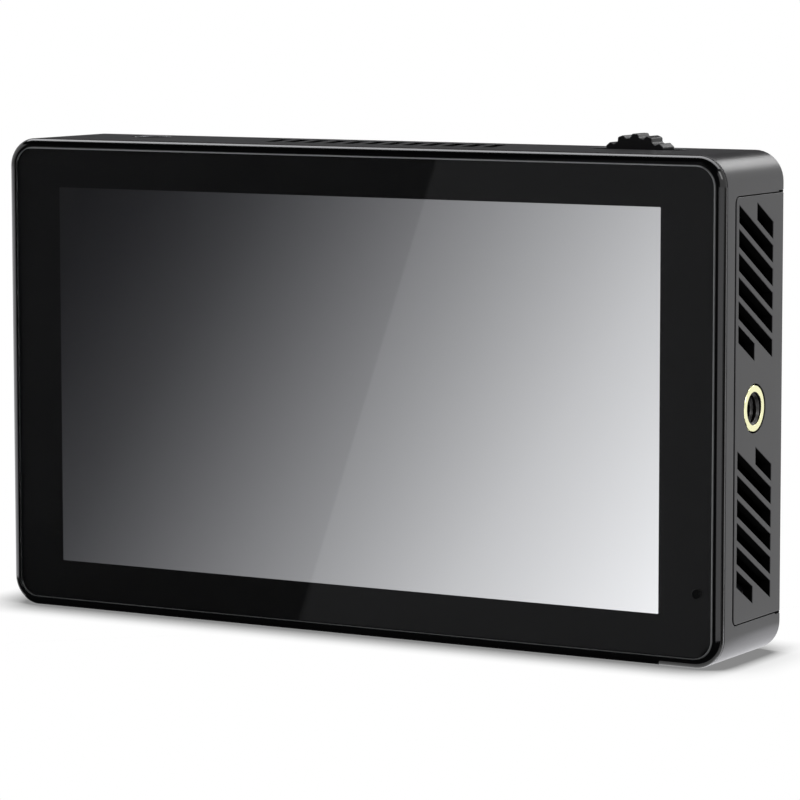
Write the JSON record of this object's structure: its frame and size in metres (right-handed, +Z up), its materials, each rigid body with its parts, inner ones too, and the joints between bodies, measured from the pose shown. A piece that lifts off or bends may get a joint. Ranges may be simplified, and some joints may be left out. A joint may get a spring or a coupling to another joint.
{
  "type": "camera field monitor",
  "caption": "Flat on-camera field monitor with a glass front, slanted side vents, a toothed scroll wheel, a power button and a battery plate.",
  "frame": {"origin": "bottom centre of the whole monitor's box, on the surface it stands on", "axes": "+X to the right seen from the front, +Y towards the back, +Z up; the glass faces -Y"},
  "size_m": [0.1578, 0.026, 0.0967],
  "materials": {
    "cover_glass": "polished, with a black printed border on its back",
    "adhesive": "foam adhesive",
    "bezel_black": "high gloss",
    "sensor": "dark lens",
    "display": "display cell",
    "backlight": "white light guide and frame",
    "flat_cable": "amber film",
    "chassis_metal": "rolled sheet",
    "circuit_board": "solder mask",
    "post_brass": "plated",
    "screw_steel": "zinc plated",
    "chip": "moulded epoxy",
    "heat_sink": "black anodised",
    "socket_steel": "nickel plated",
    "jack_black": "moulded",
    "case_grey": "satin paint",
    "cover_grey": "satin paint",
    "screw_black": "black oxide",
    "insert_brass": "turned, bright",
    "button_black": "satin",
    "switch_black": "moulded",
    "wheel_black": "satin, toothed",
    "axle_steel": "ground pin",
    "carrier_plastic": "moulded",
    "encoder": "moulded",
    "plate_black": "fine grain",
    "contact_brass": "gold plated",
    "latch_black": "fine grain"
  },
  "bodies": {
    "case": {"cover_glass": "cover_glass", "glass_adhesive": "adhesive", "front_bezel": "bezel_black", "light_sensor": "sensor", "display_panel": "display", "backlight_unit": "backlight", "display_cable": "flat_cable", "chassis": "chassis_metal", "main_board": "circuit_board", "board_standoffs": "post_brass", "board_screws": "screw_steel", "processor": "chip", "heat_sink": "heat_sink", "hdmi_input": "socket_steel", "hdmi_output": "socket_steel", "headphone_jack": "jack_black", "dc_jack": "jack_black", "housing": "case_grey", "back_cover": "cover_grey", "side_panel_right": "cover_grey", "side_panel_left": "cover_grey", "cover_posts": "post_brass", "cover_screws": "screw_black", "side_insert": "insert_brass", "bottom_insert": "insert_brass", "power_switch": "switch_black", "key_board": "circuit_board", "select_switch": "switch_black", "wheel_board": "circuit_board", "battery_plate": "plate_black", "battery_contacts": "contact_brass"},
    "power_button": {"power_button": "button_black"},
    "wheel_carrier": {"wheel_carrier": "carrier_plastic", "wheel_encoder": "encoder"},
    "scroll_wheel": {"scroll_wheel": "wheel_black", "wheel_axle": "axle_steel"},
    "battery_latch": {"battery_latch": "latch_black"}
  },
  "joints": [
    {"name": "power_press", "type": "slide", "parent": "case", "child": "power_button", "axis": [0, 0, -1], "range_m": [0, 0.0005], "stiffness_N_per_m": 800},
    {"name": "wheel_press", "type": "slide", "parent": "case", "child": "wheel_carrier", "axis": [0, 0, -1], "range_m": [0, 0.00025], "stiffness_N_per_m": 2000},
    {"name": "wheel_turn", "type": "hinge", "parent": "wheel_carrier", "child": "scroll_wheel", "pos_m": [0.0524, 0.006, 0.088], "axis": [0, 1, 0], "continuous": true},
    {"name": "latch_press", "type": "slide", "parent": "case", "child": "battery_latch", "axis": [0, -1, 0], "range_m": [0, 0.002], "stiffness_N_per_m": 300}
  ]
}
